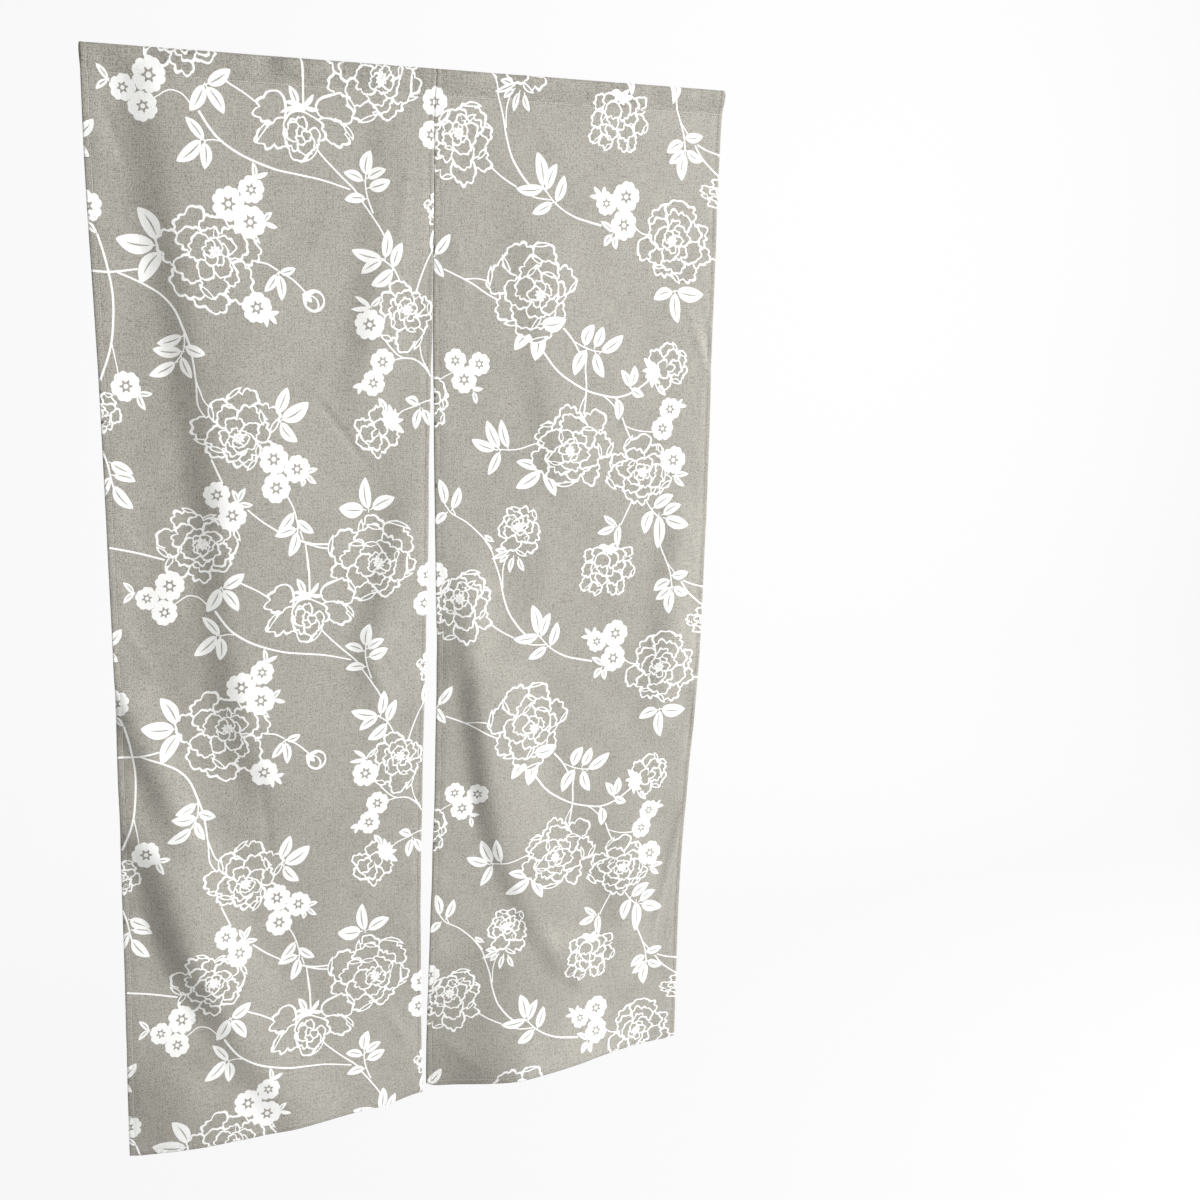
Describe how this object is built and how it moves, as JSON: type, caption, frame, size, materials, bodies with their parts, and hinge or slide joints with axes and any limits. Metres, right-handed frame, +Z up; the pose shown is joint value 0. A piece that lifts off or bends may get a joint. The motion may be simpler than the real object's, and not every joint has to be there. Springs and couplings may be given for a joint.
{
  "type": "noren curtain",
  "caption": "Two-panel hanging doorway curtain on a rod pocket, sewn together at the top and slit below, with a white flower print on greige cloth.",
  "frame": {"origin": "middle of the top edge of the rod pocket, where a rod holds the curtain up", "axes": "+Z up, +X to the right seen from the front, the printed front faces -Y"},
  "size_m": [0.91, 0.0406, 1.5012],
  "materials": {
    "printed_cloth": "matt slubby plain weave, greige ground printed in white"
  },
  "bodies": {
    "root": {"heading_left": "printed_cloth", "heading_right": "printed_cloth", "panel_left": "printed_cloth", "panel_right": "printed_cloth"}
  },
  "joints": []
}
